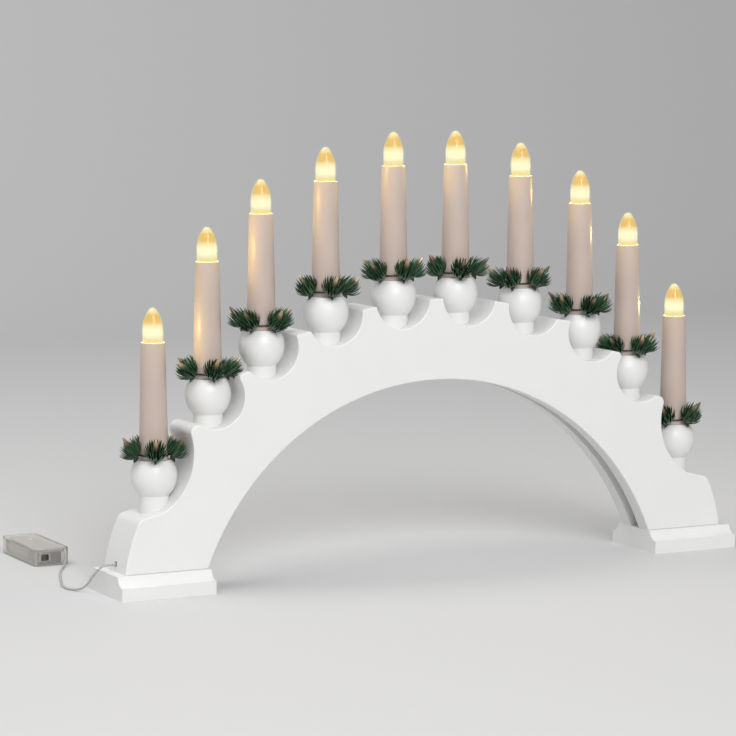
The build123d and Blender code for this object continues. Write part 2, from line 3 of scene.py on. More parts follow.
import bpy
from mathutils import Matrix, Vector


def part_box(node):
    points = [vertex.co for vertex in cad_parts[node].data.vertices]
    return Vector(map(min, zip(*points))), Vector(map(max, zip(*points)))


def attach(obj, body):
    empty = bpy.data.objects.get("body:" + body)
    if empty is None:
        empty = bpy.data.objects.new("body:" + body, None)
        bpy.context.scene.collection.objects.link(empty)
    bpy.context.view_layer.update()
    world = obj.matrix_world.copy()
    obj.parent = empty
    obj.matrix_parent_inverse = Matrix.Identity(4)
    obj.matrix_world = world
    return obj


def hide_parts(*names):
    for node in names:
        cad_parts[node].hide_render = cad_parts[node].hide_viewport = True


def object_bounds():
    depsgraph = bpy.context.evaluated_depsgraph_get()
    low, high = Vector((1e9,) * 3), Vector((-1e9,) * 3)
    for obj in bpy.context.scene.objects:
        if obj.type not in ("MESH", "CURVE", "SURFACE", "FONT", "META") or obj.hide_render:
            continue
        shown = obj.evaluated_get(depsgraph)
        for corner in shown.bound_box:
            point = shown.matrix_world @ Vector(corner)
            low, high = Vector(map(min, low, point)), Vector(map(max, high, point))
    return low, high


bl_info = {
    "name": "Candle arch",
    "version": (1, 0, 0),
    "blender": (4, 5, 0),
    "location": "View3D > Sidebar > Candle arch",
    "description": "Dresses the frame of a candle arch and sets it on a pale stage",
    "category": "Object",
}

import math
import random

import bmesh
import bpy
from bpy.props import FloatProperty, FloatVectorProperty, IntProperty, PointerProperty
from mathutils import Vector
from mathutils.bvhtree import BVHTree

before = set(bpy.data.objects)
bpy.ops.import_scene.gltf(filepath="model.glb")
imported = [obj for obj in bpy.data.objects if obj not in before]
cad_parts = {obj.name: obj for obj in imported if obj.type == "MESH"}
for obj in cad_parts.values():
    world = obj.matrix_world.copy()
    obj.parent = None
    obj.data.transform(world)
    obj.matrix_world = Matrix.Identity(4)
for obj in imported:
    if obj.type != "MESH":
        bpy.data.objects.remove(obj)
cad_low, cad_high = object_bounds()

MM = 0.001
CANDLES = [f"{number:02d}" for number in range(1, 11)]

# Values that most of a noise lies between
NOISE_LOW = 0.3
NOISE_HIGH = 0.7

# Angle of each wreath's first sprig about its candle, in degrees, from the left candle to the right one
WREATH_TURNS = (252, 264, 215, 262, 274, 257, 217, 268, 277, 216)

# The cord's route in millimetres: out of the left foot, over the plinth, along the floor, into the box
CORD_ROUTE = (
    (-240.1, 0.0, 21.0),
    (-245.0, 0.0, 21.0),
    (-250.5, 0.8, 21.0),
    (-254.6, 3.2, 17.6),
    (-256.6, 7.6, 12.2),
    (-258.0, 13.0, 6.6),
    (-260.2, 18.8, 2.4),
    (-263.6, 25.0, 1.0),
    (-266.4, 32.6, 1.0),
    (-265.6, 42.6, 1.0),
    (-261.4, 55.0, 1.0),
    (-256.4, 69.5, 1.0),
    (-250.4, 86.0, 1.0),
    (-243.6, 101.6, 1.0),
    (-237.4, 113.0, 1.0),
    (-233.6, 119.0, 2.2),
    (-232.2, 121.6, 5.8),
    (-231.75, 122.8, 9.0),
    (-231.75, 124.8, 10.3),
    (-231.75, 126.9, 10.3),
)

# Camera of the photo: its place in metres, the way it looks and its lens in millimetres
CAMERA_PLACE = (-1.0544, -1.9959, 0.4042)
CAMERA_WAY = (0.4481, 0.8867, -0.1136)
CAMERA_LENS = 153.2


def colour(name, text, value):
    """A colour that a user may change."""
    return FloatVectorProperty(
        name=name, description=text, subtype="COLOR", size=3, min=0, max=1, default=value)


def length(name, text, value):
    """A length that a user may change, in metres."""
    return FloatProperty(
        name=name, description=text, unit="LENGTH", min=0, precision=5, default=value * MM)


def power(name, text, value):
    """A lamp's power that a user may change, in watts."""
    return FloatProperty(name=name, description=text, unit="POWER", min=0, precision=3, default=value)


class WoodLooks(bpy.types.PropertyGroup):
    """Paint of the board, the plinths and the cups."""

    paint: colour("Paint", "White of the painted wood", (0.84, 0.84, 0.83))
    shade: colour("Shade", "Slightly thinner patches of the paint", (0.79, 0.79, 0.78))


class CandleLooks(bpy.types.PropertyGroup):
    """Tubes and bulbs of the candles."""

    ivory: colour("Ivory", "Plastic of the candle tubes", (0.535, 0.44, 0.39))
    warm: colour("Warm", "Light of the bulbs", (1.0, 0.72, 0.19))
    bright: colour("Bright", "Lower half of a lit bulb", (1.0, 0.97, 0.66))
    amber: colour("Amber", "Upper half of a lit bulb", (0.80, 0.53, 0.16))
    wall: length("Bulb wall", "Thickness of a bulb's shell", 0.3)
    belly: length("Belly", "Height of a bulb's widest place above its tube", 7.4)
    tip: length("Tip", "Radius of a bulb's rounded tip", 3.5)
    glow: power("Glow", "Power of the light from a bulb", 0.042)


class WreathLooks(bpy.types.PropertyGroup):
    """Pine wreaths at the feet of the candles."""

    sprigs: IntProperty(name="Sprigs", description="Sprigs on each wreath", min=1, max=12, default=5)
    needles: IntProperty(name="Needles", description="Needles on each sprig", min=4, max=160, default=52)
    bowl_radius: length("Bowl radius", "Radius of the bowl that a sprig's needles make", 8.5)
    bowl_depth: length("Bowl depth", "Depth of the bowl that a sprig's needles make", 9.5)
    needle_width: length("Needle width", "Width of a needle at its middle", 1.4)
    bud_length: length("Bud length", "Length of the bud in each sprig", 12.0)
    bud_radius: length("Bud radius", "Radius of the bud at its thickest place", 1.9)
    ring_radius: length("Ring radius", "Radius of the wire ring", 11.3)
    wire_radius: length("Wire radius", "Radius of the ring's wire", 0.6)
    dark: colour("Dark green", "Needles at their roots", (0.007, 0.026, 0.010))
    light: colour("Light green", "Needles at their tips", (0.032, 0.105, 0.044))
    brown: colour("Brown", "Buds at their roots", (0.09, 0.05, 0.028))
    gold: colour("Gold", "Buds at their tips", (0.42, 0.31, 0.20))


class SupplyLooks(bpy.types.PropertyGroup):
    """Cord and battery box."""

    lead: colour("Lead", "Clear jacket of the twisted leads", (0.62, 0.61, 0.59))
    case: colour("Case", "Frosted plastic of the battery box", (0.98, 0.955, 0.93))
    cord_diameter: length("Cord diameter", "Diameter of the twisted pair", 1.8)
    twist_pitch: length("Twist pitch", "Length of one turn of the twist", 5.6)


class StageLooks(bpy.types.PropertyGroup):
    """Floor and light."""

    floor: colour("Floor", "Floor and backdrop", (0.66, 0.66, 0.66))
    sky: FloatProperty(name="Sky", description="Strength of the even light", min=0, default=0.32)
    key: power("Key", "Power of the main lamp", 72)
    fill: power("Fill", "Power of the top lamp", 27)


# Nodes


def start_material(name):
    """A new material, its node tree and its shader."""
    material = bpy.data.materials.new(name)
    material.use_nodes = True
    return material, material.node_tree, material.node_tree.nodes["Principled BSDF"]


def add_node(tree, kind, inputs=None, **settings):
    """A new node with settings and input values."""
    made = tree.nodes.new(kind)
    for name, value in settings.items():
        setattr(made, name, value)
    for name, value in (inputs or {}).items():
        made.inputs[name].default_value = value
    return made


def join(tree, source, target):
    """Link an output socket to an input socket."""
    tree.links.new(source, target)


def opaque(value):
    """A colour with full alpha."""
    return (*value, 1.0)


def noise(tree, scale, stretch=(1, 1, 1), detail=4, source="Object"):
    """Noise in metres, stretched along an axis where stretch is small."""
    place = add_node(tree, "ShaderNodeTexCoord")
    mapping = add_node(tree, "ShaderNodeMapping", {"Scale": stretch})
    texture = add_node(tree, "ShaderNodeTexNoise", {"Scale": scale, "Detail": detail})
    join(tree, place.outputs[source], mapping.inputs["Vector"])
    join(tree, mapping.outputs["Vector"], texture.inputs["Vector"])
    return texture.outputs["Fac"]


def blend(tree, factor, first, second):
    """A colour between two, by a factor socket."""
    mix = add_node(tree, "ShaderNodeMix", data_type="RGBA")
    mix.inputs[6].default_value = opaque(first)
    mix.inputs[7].default_value = opaque(second)
    join(tree, factor, mix.inputs["Factor"])
    return mix.outputs[2]


def spread(tree, factor, low, high):
    """A number between low and high, by a factor socket."""
    ends = {"From Min": NOISE_LOW, "From Max": NOISE_HIGH, "To Min": low, "To Max": high}
    scale = add_node(tree, "ShaderNodeMapRange", ends)
    join(tree, factor, scale.inputs["Value"])
    return scale.outputs["Result"]


def bumps(tree, shader, *layers):
    """Stack bumps on a shader: each layer is a height socket, a strength and a depth in metres."""
    below = None
    for height, strength, depth in layers:
        bump = add_node(tree, "ShaderNodeBump", {"Strength": strength, "Distance": depth})
        join(tree, height, bump.inputs["Height"])
        if below:
            join(tree, below, bump.inputs["Normal"])
        below = bump.outputs["Normal"]
    join(tree, below, shader.inputs["Normal"])


def ramp(tree, factor, stops):
    """Colours at places from 0 to 1 along a factor socket."""
    made = add_node(tree, "ShaderNodeValToRGB")
    elements = made.color_ramp.elements
    elements.remove(elements[1])
    elements[0].position = stops[0][0]
    elements[0].color = opaque(stops[0][1])
    for place, value in stops[1:]:
        elements.new(place).color = opaque(value)
    join(tree, factor, made.inputs["Fac"])
    return made.outputs["Color"]


def height_share(tree, low, high):
    """Share of the way up from one height of an object to another, from 0 to 1."""
    place = add_node(tree, "ShaderNodeTexCoord")
    parts = add_node(tree, "ShaderNodeSeparateXYZ")
    share = add_node(tree, "ShaderNodeMapRange", {"From Min": low, "From Max": high})
    join(tree, place.outputs["Object"], parts.inputs["Vector"])
    join(tree, parts.outputs["Z"], share.inputs["Value"])
    return share.outputs["Result"]


def attribute(tree, name):
    """A number stored on the mesh's points."""
    return add_node(tree, "ShaderNodeAttribute", attribute_name=name).outputs["Fac"]


# Finishes


def white_satin_paint(looks):
    """Sprayed satin paint, with the wood's grain faintly under it."""
    material, tree, shader = start_material("white_satin_paint")
    patches = noise(tree, 22, detail=3)
    peel = noise(tree, 900, detail=2)
    grain = noise(tree, 1, stretch=(30, 700, 420), detail=5)
    join(tree, blend(tree, patches, looks.paint, looks.shade), shader.inputs["Base Color"])
    join(tree, spread(tree, patches, 0.34, 0.46), shader.inputs["Roughness"])
    bumps(tree, shader, (grain, 0.10, 0.0002), (peel, 0.06, 0.0001))
    return material


def ivory_plastic(looks):
    """Moulded tube, slightly see-through, with a painted warm glow of the bulb's light near its mouth and a
    painted bright rim at its top.
    """
    material, tree, shader = start_material("ivory_plastic")
    cloud = noise(tree, 60, detail=2)
    pale = [channel * 1.05 for channel in looks.ivory]
    join(tree, blend(tree, cloud, looks.ivory, pale), shader.inputs["Base Color"])
    join(tree, spread(tree, cloud, 0.28, 0.36), shader.inputs["Roughness"])
    bumps(tree, shader, (noise(tree, 1400, detail=2), 0.04, 0.0001))
    # Painted light: a warm glow of the bulb's light near the tube's top, and a brighter painted rim at its
    # very top edge.
    place = add_node(tree, "ShaderNodeTexCoord")
    parts = add_node(tree, "ShaderNodeSeparateXYZ")
    join(tree, place.outputs["Generated"], parts.inputs["Vector"])
    painted_bulb_glow = [channel * 0.06 for channel in looks.warm]
    lit = [channel * 0.30 for channel in looks.bright]
    glow = ramp(tree, parts.outputs["Z"], [(0.70, (0, 0, 0)), (0.97, painted_bulb_glow), (0.992, painted_bulb_glow), (1.0, lit)])
    join(tree, glow, shader.inputs["Emission Color"])
    shader.inputs["Emission Strength"].default_value = 1.0
    shader.inputs["Subsurface Weight"].default_value = 0.2
    shader.inputs["Subsurface Radius"].default_value = (0.004, 0.0025, 0.0015)
    shader.inputs["IOR"].default_value = 1.49
    return material


def clear_bulb():
    """Clear shell of a lit bulb, with painted light gathered in its edges."""
    material, tree, shader = start_material("clear_bulb")
    shader.inputs["Base Color"].default_value = (1.0, 0.99, 0.95, 1.0)
    shader.inputs["Transmission Weight"].default_value = 1.0
    shader.inputs["Roughness"].default_value = 0.2
    shader.inputs["IOR"].default_value = 1.25
    # Painted highlight: the shell glows brighter where its surface turns away, like light gathered in its
    # edges.
    edge = add_node(tree, "ShaderNodeLayerWeight", {"Blend": 0.25})
    stops = [(0.25, (0, 0, 0)), (0.8, (0.28, 0.34, 0.17)), (1.0, (0.3, 0.36, 0.2))]
    painted_rim_glow = ramp(tree, edge.outputs["Facing"], stops)
    join(tree, painted_rim_glow, shader.inputs["Emission Color"])
    shader.inputs["Emission Strength"].default_value = 1.0
    return material


def lit_core(looks, low, high):
    """Light inside a bulb: bright below, amber above."""
    material, tree, shader = start_material("lit_core")
    share = height_share(tree, low, high)
    base = [channel * 0.85 for channel in looks.bright]
    half = [(a * 2 + b) / 3 for a, b in zip(looks.bright, looks.amber)]
    tip = [(a + b) / 2 for a, b in zip(looks.bright, looks.amber)]
    stops = [
        (0.00, (0.84, 0.70, 0.30)),
        (0.09, (0.86, 0.74, 0.34)),
        (0.14, base),
        (0.22, looks.bright),
        (0.38, looks.bright),
        (0.49, half),
        (0.60, looks.amber),
        (0.78, looks.amber),
        (0.88, tip),
        (1.00, looks.bright),
    ]
    glow = ramp(tree, share, stops)
    join(tree, glow, shader.inputs["Emission Color"])
    shader.inputs["Emission Strength"].default_value = 1.0
    shader.inputs["Base Color"].default_value = (0.08, 0.055, 0.02, 1.0)
    shader.inputs["Specular IOR Level"].default_value = 0.0
    join(tree, spread(tree, noise(tree, 300), 0.6, 0.7), shader.inputs["Roughness"])
    return material


def screw_brass():
    """Plated cap of a bulb."""
    material, tree, shader = start_material("screw_brass")
    shader.inputs["Metallic"].default_value = 1.0
    wear = noise(tree, 500)
    join(tree, blend(tree, wear, (0.62, 0.52, 0.34), (0.50, 0.44, 0.32)), shader.inputs["Base Color"])
    join(tree, spread(tree, wear, 0.22, 0.36), shader.inputs["Roughness"])
    return material


def pine_needles(looks):
    """Cut plastic needles, dark at the root and lighter towards the tip."""
    material, tree, shader = start_material("pine_needles")
    along = attribute(tree, "along")
    tone = attribute(tree, "tone")
    mid = [(a + b) / 2.6 for a, b in zip(looks.dark, looks.light)]
    green = ramp(tree, along, [(0.0, looks.dark), (0.55, mid), (1.0, looks.light)])
    shift = add_node(tree, "ShaderNodeHueSaturation")
    join(tree, green, shift.inputs["Color"])
    join(tree, spread(tree, tone, 0.55, 1.35), shift.inputs["Value"])
    join(tree, shift.outputs["Color"], shader.inputs["Base Color"])
    join(tree, spread(tree, noise(tree, 1500), 0.26, 0.42), shader.inputs["Roughness"])
    bumps(tree, shader, (noise(tree, 1, stretch=(2500, 2500, 300), detail=2), 0.15, 0.0001))
    return material


def green_wire(looks):
    """Lacquered wire of the rings and the stalks."""
    material, tree, shader = start_material("green_wire")
    wound = noise(tree, 1200)
    light = [channel * 1.8 for channel in looks.dark]
    join(tree, blend(tree, wound, looks.dark, light), shader.inputs["Base Color"])
    join(tree, spread(tree, wound, 0.3, 0.45), shader.inputs["Roughness"])
    bumps(tree, shader, (wound, 0.2, 0.0001))
    return material


def gilded_bud(looks):
    """Bud, brown at its foot and gilded towards its tip."""
    material, tree, shader = start_material("gilded_bud")
    along = attribute(tree, "along")
    scales = noise(tree, 1, stretch=(900, 900, 500), detail=2)
    mid = [(a * 2 + b) / 3 for a, b in zip(looks.brown, looks.gold)]
    tint = ramp(tree, along, [(0.2, looks.brown), (0.6, mid), (1.0, looks.gold)])
    shift = add_node(tree, "ShaderNodeHueSaturation")
    join(tree, tint, shift.inputs["Color"])
    join(tree, spread(tree, attribute(tree, "tone"), 0.6, 1.6), shift.inputs["Value"])
    join(tree, shift.outputs["Color"], shader.inputs["Base Color"])
    join(tree, spread(tree, scales, 0.18, 0.34), shader.inputs["Roughness"])
    bumps(tree, shader, (scales, 0.35, 0.0003))
    shader.inputs["Metallic"].default_value = 0.3
    return material


def clear_lead(looks):
    """Clear jacket over tinned strands."""
    material, tree, shader = start_material("clear_lead")
    strands = noise(tree, 700)
    dull = [channel * 0.86 for channel in looks.lead]
    join(tree, blend(tree, strands, looks.lead, dull), shader.inputs["Base Color"])
    join(tree, spread(tree, strands, 0.25, 0.4), shader.inputs["Roughness"])
    shader.inputs["Transmission Weight"].default_value = 0.25
    shader.inputs["IOR"].default_value = 1.5
    bumps(tree, shader, (strands, 0.1, 0.0001))
    return material


def frosted_case(looks):
    """Frosted clear plastic of the battery box."""
    material, tree, shader = start_material("frosted_case")
    frost = noise(tree, 2600, detail=2)
    cloud = noise(tree, 60, detail=2)
    dull = [channel * 0.98 for channel in looks.case]
    join(tree, blend(tree, cloud, looks.case, dull), shader.inputs["Base Color"])
    join(tree, spread(tree, cloud, 0.06, 0.11), shader.inputs["Roughness"])
    shader.inputs["Transmission Weight"].default_value = 0.76
    shader.inputs["IOR"].default_value = 1.12
    bumps(tree, shader, (frost, 0.03, 0.0001))
    return material


def moulded_plastic(name, base, rough):
    """Plain moulded plastic with a fine texture."""
    material, tree, shader = start_material(name)
    texture = noise(tree, 1100)
    light = [channel * 1.25 for channel in base]
    join(tree, blend(tree, texture, base, light), shader.inputs["Base Color"])
    join(tree, spread(tree, texture, rough - 0.06, rough + 0.08), shader.inputs["Roughness"])
    bumps(tree, shader, (texture, 0.12, 0.0001))
    return material


def bright_metal(name, base, rough):
    """Plated metal with fine scratches."""
    material, tree, shader = start_material(name)
    shader.inputs["Metallic"].default_value = 1.0
    scratch = noise(tree, 1, stretch=(300, 3000, 3000), detail=4)
    dull = [channel * 0.82 for channel in base]
    join(tree, blend(tree, scratch, base, dull), shader.inputs["Base Color"])
    join(tree, spread(tree, scratch, rough - 0.06, rough + 0.1), shader.inputs["Roughness"])
    bumps(tree, shader, (scratch, 0.06, 0.0001))
    return material


# Meshes


def ring_of(bm, centre, first, second, sides):
    """A ring of points about a centre, spanned by two half axes."""
    turns = [2 * math.pi * side / sides for side in range(sides)]
    return [bm.verts.new(centre + first * math.cos(turn) + second * math.sin(turn)) for turn in turns]


def skin(bm, rings, material=0, loop=False):
    """Faces between rings of points. A ring of one point closes to a tip."""
    for near, far in zip(rings, rings[1:] + (rings[:1] if loop else [])):
        sides = max(len(near), len(far))
        for side in range(sides):
            after = (side + 1) % sides
            close = [near[side % len(near)], near[after % len(near)]]
            away = [far[after % len(far)], far[side % len(far)]]
            face = bm.faces.new(list(dict.fromkeys(close + away)))
            face.material_index = material


def lathe(bm, profile, sides, material=0):
    """Turn points of radius and height about the Z axis."""
    rings = []
    for radius, height in profile:
        centre = Vector((0, 0, height))
        if radius > 0:
            rings.append(ring_of(bm, centre, Vector((radius, 0, 0)), Vector((0, radius, 0)), sides))
        else:
            rings.append([bm.verts.new(centre)])
    skin(bm, rings, material)


def tube(bm, points, radii, sides, material=0, flat=1.0, normal=None, loop=False):
    """The rings of a tube along points, flattened along its normal, with closed ends or as a loop."""
    rings = []
    last = len(points) - 1
    for index, point in enumerate(points):
        before = points[index - 1] if index or loop else point
        after = points[(index + 1) % len(points)] if index < last or loop else point
        way = (after - before).normalized()
        normal = way.orthogonal() if normal is None else normal
        normal = (normal - way * normal.dot(way)).normalized()
        across = way.cross(normal) * radii[index]
        rings.append(ring_of(bm, point, across, normal * radii[index] * flat, sides))
    skin(bm, rings, material, loop)
    if not loop:
        for end in (rings[0], rings[-1]):
            cap = bm.faces.new(end)
            cap.material_index = material
    return rings


def add_piece(name, bm, materials, body, replaced=(), place=(0, 0, 0), crease=50):
    """Turn a mesh into a piece that rides on a body."""
    bmesh.ops.recalc_face_normals(bm, faces=bm.faces)
    mesh = bpy.data.meshes.new(name)
    bm.to_mesh(mesh)
    bm.free()
    for material in materials:
        mesh.materials.append(material)
    mesh.shade_smooth()
    mesh.set_sharp_from_angle(angle=math.radians(crease))
    piece = bpy.data.objects.new(name, mesh)
    piece.location = place
    bpy.context.scene.collection.objects.link(piece)
    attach(piece, body)
    if replaced:
        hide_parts(*replaced)
    return piece


def dress(material, *names):
    """Give CAD nodes a finish."""
    for name in names:
        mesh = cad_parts[name].data
        mesh.materials.clear()
        mesh.materials.append(material)


def each(name):
    """Names of the ten like nodes, one for each candle."""
    return [f"{name}_{number}" for number in CANDLES]


def candle_place(number, height):
    """A point on a candle's axis."""
    low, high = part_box(f"candle_tube_{number}")
    return Vector(((low.x + high.x) / 2, (low.y + high.y) / 2, height))


# Pieces


class CANDLEARCH_OT_wood(bpy.types.Operator):
    """Paint the board, the plinths and the cups."""

    bl_idname = "candle_arch.wood"
    bl_label = "Painted wood"

    def execute(self, context):
        looks = context.scene.candle_arch_wood
        dress(white_satin_paint(looks), "arch_board", "plinth_left", "plinth_right", *each("cup"))
        dress(bright_metal("zinc_screw", (0.62, 0.62, 0.64), 0.32), "plinth_screws")
        return {"FINISHED"}


class CANDLEARCH_OT_candles(bpy.types.Operator):
    """Give the candle tubes their plastic."""

    bl_idname = "candle_arch.candles"
    bl_label = "Candle tubes"

    def execute(self, context):
        looks = context.scene.candle_arch_candles
        dress(ivory_plastic(looks), *each("candle_tube"))
        dress(moulded_plastic("holder_plastic", (0.62, 0.60, 0.55), 0.45), "lampholders")
        return {"FINISHED"}


def bulb_side(looks, radius, height, inset, steps=10):
    """Points of radius and height up a bulb's pointed side, a given depth inside its surface."""
    rise = height - looks.tip - looks.belly
    bow = (radius**2 + rise**2 - looks.tip**2) / (2 * (radius - looks.tip))
    full = math.asin(rise / (bow - looks.tip))
    points = []
    for step in range(steps + 1):
        turn = full * step / steps
        reach = (bow - inset) * math.cos(turn) - (bow - radius)
        points.append((reach, looks.belly + (bow - inset) * math.sin(turn)))
    for step in range(1, steps // 2):
        turn = full + (math.pi / 2 - full) * step / (steps // 2)
        reach = looks.tip - inset
        points.append((reach * math.cos(turn), height - looks.tip + reach * math.sin(turn)))
    points.append((0, height - inset))
    return points


class CANDLEARCH_OT_bulbs(bpy.types.Operator):
    """Make the lit bulbs: a clear shell, the light in it and a screw cap."""

    bl_idname = "candle_arch.bulbs"
    bl_label = "Lit bulbs"

    foot = 4.0 * MM
    foot_radius = 5.0 * MM
    waist = 0.3 * MM
    core_gap = 0.15 * MM
    cap_radius = 4.7 * MM
    cap_length = 10.0 * MM
    cap_gap = 0.1 * MM
    contact_drop = 1.5 * MM
    thread_depth = 0.35 * MM
    thread_rings = 5
    flank_share = 0.2
    sides = 40
    core_finish = 1
    cap_finish = 2

    def execute(self, context):
        looks = context.scene.candle_arch_candles
        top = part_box("candle_tube_01")[1].z
        low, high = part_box("bulb_01")
        radius = (high.x - low.x) / 2
        height = high.z - top
        shell = clear_bulb()
        core = lit_core(looks, 0, height)
        brass = screw_brass()
        lit = bpy.data.collections.new("lit_bulbs")
        for number in CANDLES:
            bm = bmesh.new()
            self.add_shell(bm, looks, radius, height)
            self.add_core(bm, looks, radius, height)
            self.add_cap(bm)
            place = candle_place(number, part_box(f"candle_tube_{number}")[1].z)
            piece = add_piece(
                f"lit_bulb_{number}", bm, (shell, core, brass), f"bulb_{number}",
                [f"bulb_{number}"], place)
            lit.objects.link(piece)
            self.add_lamp(f"glow_{number}", looks, place + Vector((0, 0, looks.belly)), lit)
        for entry in lit.collection_objects:
            entry.light_linking.link_state = "EXCLUDE"
        return {"FINISHED"}

    def add_lamp(self, name, looks, place, lit):
        """The warm light of a bulb on what stands round it. The bulbs themselves don't stop it."""
        lamp = bpy.data.lights.new(name, "POINT")
        lamp.energy = looks.glow
        lamp.color = looks.warm
        lamp.shadow_soft_size = self.cap_radius
        holder = bpy.data.objects.new(name, lamp)
        holder.location = place
        holder.light_linking.blocker_collection = lit
        holder.light_linking.receiver_collection = lit
        bpy.context.scene.collection.objects.link(holder)

    def add_shell(self, bm, looks, radius, height):
        """The outside of the shell down to its foot, and the inside up again."""
        outside = bulb_side(looks, radius, height, 0)
        inside = bulb_side(looks, radius, height, looks.wall)
        neck = [(radius - self.waist, 0.0), (self.foot_radius, -self.foot)]
        inner_neck = [(reach - looks.wall, z) for reach, z in reversed(neck)]
        lathe(bm, outside[::-1] + neck + inner_neck + inside, self.sides)

    def add_core(self, bm, looks, radius, height):
        """The lit space inside the shell."""
        depth = looks.wall + self.core_gap
        side = bulb_side(looks, radius, height, depth)
        neck = [(radius - self.waist - depth, 0.0), (self.foot_radius - depth, -self.foot), (0, -self.foot)]
        lathe(bm, side[::-1] + neck, self.sides, self.core_finish)

    def add_cap(self, bm):
        """The screw cap below the shell, with a rolled thread and a contact."""
        top = -self.foot - self.cap_gap
        low = -self.foot - self.cap_length
        root = self.cap_radius - self.thread_depth
        contact = self.cap_radius / 2
        pitch = self.cap_length / self.thread_rings
        flank = pitch * self.flank_share
        profile = [(0, top), (self.cap_radius, top)]
        for ring in range(self.thread_rings):
            z = -self.foot - pitch * (ring + 0.5)
            profile += [(root, z + flank), (self.cap_radius, z - flank)]
        profile += [(root, low), (contact, low)]
        profile += [(contact, low - self.contact_drop), (0, low - self.contact_drop)]
        lathe(bm, profile, self.sides, self.cap_finish)


